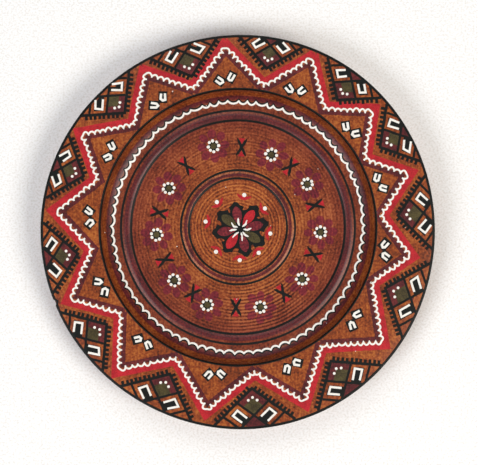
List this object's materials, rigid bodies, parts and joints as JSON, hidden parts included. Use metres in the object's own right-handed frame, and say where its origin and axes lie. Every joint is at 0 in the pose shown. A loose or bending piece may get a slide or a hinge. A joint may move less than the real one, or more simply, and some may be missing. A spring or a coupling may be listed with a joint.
{
  "type": "decorative wooden wall plate",
  "caption": "Turned wooden wall plate, stained and hand painted with a star, scalloped lines and flowers, with a hinged hanging ring in the foot recess.",
  "frame": {"origin": "middle of the foot ring's underside, on the axis that the rim and foot were turned about", "axes": "+Z out of the painted face, +Y towards the hanging ring, which is the top of the plate when it hangs on a wall"},
  "size_m": [0.2504, 0.2504, 0.0242],
  "materials": {
    "stained_wood": "orange-brown stain under gloss varnish",
    "black_paint": "brushed enamel paint under varnish",
    "wine_paint": "translucent brushed stain under varnish",
    "scarlet_paint": "brushed enamel paint under varnish",
    "white_paint": "thick brushed enamel paint",
    "olive_paint": "brushed enamel paint under varnish",
    "hanger_brass": "stamped sheet, dulled",
    "hanger_steel": "zinc plated wire"
  },
  "bodies": {
    "plate": {"plate_body": "stained_wood", "black_edge_band": "black_paint", "scarlet_star_band": "scarlet_paint", "white_star_line": "white_paint", "wine_star_band": "wine_paint", "black_ring_lip": "black_paint", "wine_stripe_cove": "wine_paint", "white_scallop_ring": "white_paint", "black_ring_cove_foot": "black_paint", "wine_stripe_bead": "wine_paint", "black_ring_well": "black_paint", "black_ring_centre_outer": "black_paint", "wine_stripe_centre": "wine_paint", "black_ring_centre_inner": "black_paint", "hanger_strap": "hanger_brass", "hanger_screw_1": "hanger_steel", "hanger_screw_2": "hanger_steel"},
    "ring": {"hanger_ring": "hanger_steel"}
  },
  "joints": [
    {"name": "ring_swing", "type": "hinge", "parent": "plate", "child": "ring", "pos_m": [0, 0.0373, 0.00323], "axis": [-1, 0, 0], "range_deg": [0, 165]}
  ]
}
